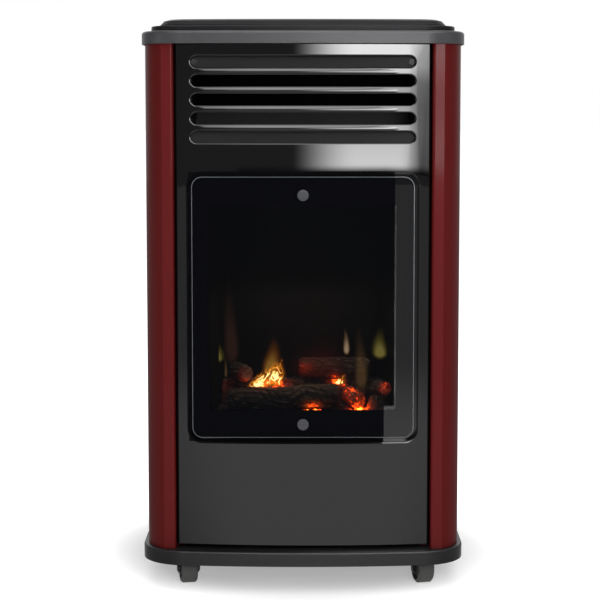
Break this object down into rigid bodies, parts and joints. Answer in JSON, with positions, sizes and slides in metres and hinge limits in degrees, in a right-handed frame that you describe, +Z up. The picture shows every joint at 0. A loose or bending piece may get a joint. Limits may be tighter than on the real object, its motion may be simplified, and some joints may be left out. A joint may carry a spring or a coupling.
{
  "type": "portable gas cabinet heater",
  "caption": "Upright cabinet heater on casters: bowed black front with louvres over a glazed living-flame fire, curved burgundy sides, bay behind for a gas cylinder.",
  "frame": {"origin": "on the floor, under the middle of the moulded base", "axes": "+X to the right seen from the front, +Y to the back, +Z up; the front faces -Y"},
  "size_m": [0.436, 0.475, 0.764],
  "materials": {
    "moulded_base": "satin moulded dark grey",
    "cabinet_paint": "metallic burgundy baked enamel",
    "front_enamel": "high-gloss black enamel",
    "window_glass": "clear heat-proof glass with a black border",
    "rope_seal": "woven glass fibre",
    "stud_chrome": "spun satin chrome",
    "fibre_washer": "pressed fibre",
    "fire_sheet": "heat-proof matt black",
    "zinc_screw": "zinc plated",
    "ceramic_fuel": "charred ceramic fibre",
    "burner_steel": "heat-tinted steel",
    "brass": "machined brass",
    "gas_tube": "drawn tube",
    "insulator": "glazed insulator",
    "probe": "heat-tinted probe",
    "zinc_sheet": "galvanised sheet",
    "valve_casting": "die cast",
    "valve_stem": "turned brass",
    "cap_plastic": "satin moulded grey",
    "deck_plastic": "satin moulded dark grey",
    "fascia_plastic": "fine-textured moulded black",
    "knob_plastic": "moulded black",
    "piezo_body": "moulded nylon",
    "hinge_steel": "turned pin",
    "rear_paint": "fine-textured black powder coat",
    "caster_zinc": "black zinc pressings",
    "caster_tyre": "dark grey moulded tread"
  },
  "bodies": {
    "root": {"base_tray": "moulded_base", "side_panel_left": "cabinet_paint", "side_panel_right": "cabinet_paint", "front_panel": "front_enamel", "window_glass": "window_glass", "glass_gasket": "rope_seal", "glass_studs": "stud_chrome", "stud_washers": "fibre_washer", "firebox_shell": "fire_sheet", "firebox_floor": "fire_sheet", "hot_air_duct": "fire_sheet", "flue_baffle": "fire_sheet", "duct_screws": "zinc_screw", "caster_screws": "zinc_screw", "ember_bed": "ceramic_fuel", "log_front": "ceramic_fuel", "log_back": "ceramic_fuel", "log_left": "ceramic_fuel", "log_right": "ceramic_fuel", "log_far_right": "ceramic_fuel", "burner": "burner_steel", "pilot_burner": "burner_steel", "injector": "brass", "hose_nozzle": "brass", "burner_pipe": "gas_tube", "pilot_pipe": "gas_tube", "spark_electrode": "insulator", "thermocouple": "probe", "cylinder_floor": "zinc_sheet", "divider_plate": "zinc_sheet", "gas_valve": "valve_casting", "top_cap": "cap_plastic", "top_deck": "deck_plastic", "top_panel": "deck_plastic", "control_fascia": "fascia_plastic", "piezo_igniter": "piezo_body", "flap_hinge_pins": "hinge_steel", "caster_front_left_plate": "caster_zinc", "caster_front_right_plate": "caster_zinc", "caster_rear_left_plate": "caster_zinc", "caster_rear_right_plate": "caster_zinc"},
    "caster_front_left_swivel": {"caster_front_left_fork": "caster_zinc", "caster_front_left_axle": "caster_zinc"},
    "caster_front_left_roller": {"caster_front_left_wheel": "caster_tyre"},
    "caster_front_right_swivel": {"caster_front_right_fork": "caster_zinc", "caster_front_right_axle": "caster_zinc"},
    "caster_front_right_roller": {"caster_front_right_wheel": "caster_tyre"},
    "caster_rear_left_swivel": {"caster_rear_left_fork": "caster_zinc", "caster_rear_left_axle": "caster_zinc"},
    "caster_rear_left_roller": {"caster_rear_left_wheel": "caster_tyre"},
    "caster_rear_right_swivel": {"caster_rear_right_fork": "caster_zinc", "caster_rear_right_axle": "caster_zinc"},
    "caster_rear_right_roller": {"caster_rear_right_wheel": "caster_tyre"},
    "flap": {"control_flap": "deck_plastic"},
    "plunger": {"valve_plunger": "valve_stem"},
    "knob": {"valve_spindle": "valve_stem", "control_knob": "knob_plastic"},
    "igniter": {"igniter_button": "knob_plastic"},
    "back": {"rear_cover": "rear_paint", "cover_screws": "zinc_screw"}
  },
  "joints": [
    {"name": "caster_front_left_swivel", "type": "hinge", "parent": "root", "child": "caster_front_left_swivel", "pos_m": [-0.16, -0.1675, 0.0445], "axis": [0, 0, 1], "continuous": true},
    {"name": "caster_front_left_roll", "type": "hinge", "parent": "caster_front_left_swivel", "child": "caster_front_left_roller", "pos_m": [-0.15695, -0.18321, 0.02], "axis": [-0.9816, -0.1908, 0], "continuous": true},
    {"name": "caster_front_right_swivel", "type": "hinge", "parent": "root", "child": "caster_front_right_swivel", "pos_m": [0.16, -0.1675, 0.0445], "axis": [0, 0, 1], "continuous": true},
    {"name": "caster_front_right_roll", "type": "hinge", "parent": "caster_front_right_swivel", "child": "caster_front_right_roller", "pos_m": [0.16387, -0.18302, 0.02], "axis": [-0.9703, -0.2419, 0], "continuous": true},
    {"name": "caster_rear_left_swivel", "type": "hinge", "parent": "root", "child": "caster_rear_left_swivel", "pos_m": [-0.16, 0.1675, 0.0445], "axis": [0, 0, 1], "continuous": true},
    {"name": "caster_rear_left_roll", "type": "hinge", "parent": "caster_rear_left_swivel", "child": "caster_rear_left_roller", "pos_m": [-0.15805, 0.15162, 0.02], "axis": [-0.9925, -0.1219, 0], "continuous": true},
    {"name": "caster_rear_right_swivel", "type": "hinge", "parent": "root", "child": "caster_rear_right_swivel", "pos_m": [0.16, 0.1675, 0.0445], "axis": [0, 0, 1], "continuous": true},
    {"name": "caster_rear_right_roll", "type": "hinge", "parent": "caster_rear_right_swivel", "child": "caster_rear_right_roller", "pos_m": [0.15888, 0.15154, 0.02], "axis": [-0.9976, 0.0698, 0], "continuous": true},
    {"name": "flap_hinge", "type": "hinge", "parent": "root", "child": "flap", "pos_m": [0, 0.2153, 0.7596], "axis": [-1, 0, 0], "range_deg": [0, 100]},
    {"name": "knob_push", "type": "slide", "parent": "root", "child": "plunger", "axis": [0, 0, -1], "range_m": [0, 0.003], "stiffness_N_per_m": 1500, "springref_m": -0.003},
    {"name": "knob_turn", "type": "hinge", "parent": "plunger", "child": "knob", "pos_m": [0.13, 0.1625, 0.745], "axis": [0, 0, 1], "range_deg": [0, 180]},
    {"name": "igniter_press", "type": "slide", "parent": "root", "child": "igniter", "axis": [0, 0, -1], "range_m": [0, 0.006], "stiffness_N_per_m": 1200, "springref_m": -0.003},
    {"name": "rear_cover_off", "type": "slide", "parent": "root", "child": "back", "axis": [0, 1, 0], "range_m": [0, 0.15]}
  ]
}
